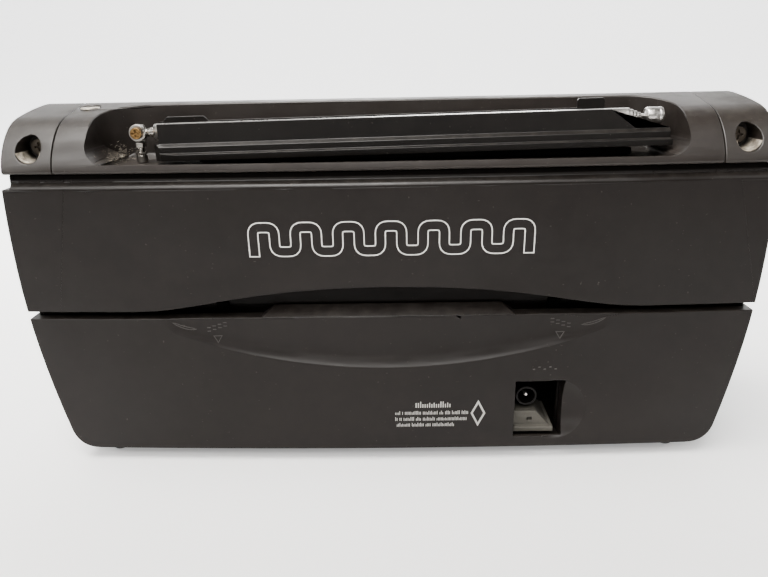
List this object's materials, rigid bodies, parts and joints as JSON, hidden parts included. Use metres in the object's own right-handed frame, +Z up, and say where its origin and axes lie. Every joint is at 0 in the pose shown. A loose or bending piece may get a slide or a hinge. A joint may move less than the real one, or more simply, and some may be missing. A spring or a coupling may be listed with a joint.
{
  "type": "portable radio cassette recorder",
  "caption": "Dark plastic portable radio cassette recorder with a telescopic aerial in a top well, a hinged battery cover, a folding handle, speakers, dial and tape deck.",
  "frame": {"origin": "on the surface the feet stand on, under the middle of the object's box", "axes": "+X to the left seen from behind, +Y towards the battery side, +Z up"},
  "size_m": [0.342, 0.096, 0.1735],
  "materials": {
    "cabinet_plastic": "fine spark-eroded satin charcoal plastic",
    "cap_plastic": "slightly browner satin plastic",
    "black_plastic": "plain black moulding",
    "smoked_plastic": "smoked glossy plastic",
    "grey_plastic": "light grey moulding",
    "pointer_red": "red dial pointer",
    "aerial_chrome": "bright plating",
    "brass_screw": "bare brass",
    "steel_works": "zinc plated steel",
    "cone_paper": "black felted paper",
    "foot_rubber": "black rubber",
    "board": "tan circuit board",
    "gang_grey": "translucent grey plastic",
    "ferrite": "sintered ferrite"
  },
  "bodies": {
    "cabinet": {"front_cabinet": "cabinet_plastic", "rear_cabinet": "cabinet_plastic", "top_cover": "cabinet_plastic", "end_cap_left": "cap_plastic", "end_cap_right": "cap_plastic", "battery_tray": "black_plastic", "aerial_cradle": "black_plastic", "speaker_grille_left": "black_plastic", "speaker_grille_right": "black_plastic", "dc_socket": "black_plastic", "dial_window": "smoked_plastic", "socket_panel": "grey_plastic", "aerial_post": "aerial_chrome", "aerial_nut": "aerial_chrome", "headphone_socket": "aerial_chrome", "aerial_screw": "brass_screw", "battery_spring": "steel_works", "case_screw_left": "steel_works", "case_screw_right": "steel_works", "speaker_frame_left": "steel_works", "speaker_frame_right": "steel_works", "deck_chassis": "steel_works", "tape_motor": "steel_works", "mains_transformer": "steel_works", "speaker_cone_left": "cone_paper", "speaker_cone_right": "cone_paper", "foot_front_left": "foot_rubber", "foot_front_right": "foot_rubber", "foot_rear_left": "foot_rubber", "foot_rear_right": "foot_rubber", "main_board": "board", "tuning_gang": "gang_grey", "ferrite_rod": "ferrite"},
    "aerial": {"aerial_knuckle": "aerial_chrome", "aerial_tube_1": "aerial_chrome", "aerial_tube_2": "aerial_chrome", "aerial_tube_3": "aerial_chrome", "aerial_tube_4": "aerial_chrome", "aerial_tip": "aerial_chrome"},
    "battery_cover": {"battery_cover": "cabinet_plastic"},
    "latch_left": {"cover_latch_left": "black_plastic"},
    "latch_right": {"cover_latch_right": "black_plastic"},
    "handle": {"carry_handle": "cabinet_plastic"},
    "tuning_knob": {"tuning_knob": "black_plastic"},
    "pointer": {"dial_pointer": "pointer_red"},
    "drum": {"dial_drum": "black_plastic"},
    "volume_knob": {"volume_knob": "black_plastic"},
    "band_switch": {"band_switch": "black_plastic"},
    "door": {"cassette_door": "smoked_plastic"},
    "head_plate": {"head_plate": "steel_works"},
    "pinch_roller": {"pinch_roller": "foot_rubber"},
    "flywheel": {"flywheel": "steel_works"},
    "pulley": {"motor_pulley": "brass_screw"},
    "supply_spindle": {"spindle_supply": "black_plastic"},
    "takeup_spindle": {"spindle_takeup": "black_plastic"},
    "key_record": {"key_record": "black_plastic"},
    "key_play": {"key_play": "black_plastic"},
    "key_rewind": {"key_rewind": "black_plastic"},
    "key_forward": {"key_forward": "black_plastic"},
    "key_stop": {"key_stop": "black_plastic"}
  },
  "joints": [
    {"name": "aerial_tilt", "type": "hinge", "parent": "cabinet", "child": "aerial", "pos_m": [0.113, 0.023, 0.1613], "axis": [0, 1, 0], "range_deg": [0, 89]},
    {"name": "handle_turn", "type": "hinge", "parent": "cabinet", "child": "handle", "pos_m": [0, -0.034, 0.162], "axis": [1, 0, 0], "range_deg": [0, 95]},
    {"name": "cover_hinge", "type": "hinge", "parent": "cabinet", "child": "battery_cover", "pos_m": [0, 0.0465, 0.0085], "axis": [-1, 0, 0], "range_deg": [0, 85]},
    {"name": "latch_left_press", "type": "slide", "parent": "battery_cover", "child": "latch_left", "axis": [0, 0, -1], "range_m": [0, 0.0025], "stiffness_N_per_m": 400, "springref_m": -0.001},
    {"name": "latch_right_press", "type": "slide", "parent": "battery_cover", "child": "latch_right", "axis": [0, 0, -1], "range_m": [0, 0.0025], "stiffness_N_per_m": 400, "springref_m": -0.001},
    {"name": "door_hinge", "type": "hinge", "parent": "cabinet", "child": "door", "pos_m": [0, -0.039, 0.0292], "axis": [1, 0, 0], "range_deg": [0, 35]},
    {"name": "key_record_press", "type": "slide", "parent": "cabinet", "child": "key_record", "axis": [0, 1, 0], "range_m": [0, 0.004], "stiffness_N_per_m": 300, "springref_m": -0.001},
    {"name": "key_play_press", "type": "slide", "parent": "cabinet", "child": "key_play", "axis": [0, 1, 0], "range_m": [0, 0.004], "stiffness_N_per_m": 300, "springref_m": -0.001},
    {"name": "key_rewind_press", "type": "slide", "parent": "cabinet", "child": "key_rewind", "axis": [0, 1, 0], "range_m": [0, 0.004], "stiffness_N_per_m": 300, "springref_m": -0.001},
    {"name": "key_forward_press", "type": "slide", "parent": "cabinet", "child": "key_forward", "axis": [0, 1, 0], "range_m": [0, 0.004], "stiffness_N_per_m": 300, "springref_m": -0.001},
    {"name": "key_stop_press", "type": "slide", "parent": "cabinet", "child": "key_stop", "axis": [0, 1, 0], "range_m": [0, 0.004], "stiffness_N_per_m": 300, "springref_m": -0.001},
    {"name": "head_slide", "type": "slide", "parent": "cabinet", "child": "head_plate", "axis": [0, 0, 1], "range_m": [0, 0.004]},
    {"name": "flywheel_spin", "type": "hinge", "parent": "cabinet", "child": "flywheel", "pos_m": [0.028, -0.017, 0.044], "axis": [0, 1, 0], "continuous": true},
    {"name": "pulley_spin", "type": "hinge", "parent": "cabinet", "child": "pulley", "pos_m": [-0.03, -0.017, 0.094], "axis": [0, 1, 0], "continuous": true},
    {"name": "takeup_spin", "type": "hinge", "parent": "cabinet", "child": "takeup_spindle", "pos_m": [0.02125, -0.02, 0.068], "axis": [0, 1, 0], "continuous": true},
    {"name": "supply_spin", "type": "hinge", "parent": "cabinet", "child": "supply_spindle", "pos_m": [-0.02125, -0.02, 0.068], "axis": [0, 1, 0], "continuous": true},
    {"name": "pinch_roller_spin", "type": "hinge", "parent": "head_plate", "child": "pinch_roller", "pos_m": [0.028, -0.03, 0.0327], "axis": [0, 1, 0], "continuous": true},
    {"name": "tuning_turn", "type": "hinge", "parent": "cabinet", "child": "tuning_knob", "pos_m": [0.112, -0.04, 0.124], "axis": [0, 1, 0], "range_deg": [-540, 540]},
    {"name": "pointer_slide", "type": "slide", "parent": "cabinet", "child": "pointer", "axis": [1, 0, 0], "range_m": [-0.059, 0.059]},
    {"name": "drum_turn", "type": "hinge", "parent": "cabinet", "child": "drum", "pos_m": [0.084, -0.031, 0.124], "axis": [0, 1, 0], "range_deg": [-92, 92]},
    {"name": "volume_turn", "type": "hinge", "parent": "cabinet", "child": "volume_knob", "pos_m": [-0.112, -0.04, 0.124], "axis": [0, 1, 0], "range_deg": [-150, 150]},
    {"name": "band_slide", "type": "slide", "parent": "cabinet", "child": "band_switch", "axis": [1, 0, 0], "range_m": [-0.006, 0.006]}
  ],
  "couplings": [
    {"joint": "head_slide", "follows": "key_play_press", "ratio": 1},
    {"joint": "pulley_spin", "follows": "flywheel_spin", "ratio": 3},
    {"joint": "takeup_spin", "follows": "flywheel_spin", "ratio": 0.065},
    {"joint": "supply_spin", "follows": "flywheel_spin", "ratio": 0.045},
    {"joint": "pinch_roller_spin", "follows": "flywheel_spin", "ratio": -0.16667},
    {"joint": "tuning_turn", "follows": "pointer_slide", "rad_per_m": 157.23},
    {"joint": "drum_turn", "follows": "pointer_slide", "rad_per_m": 26.205}
  ]
}
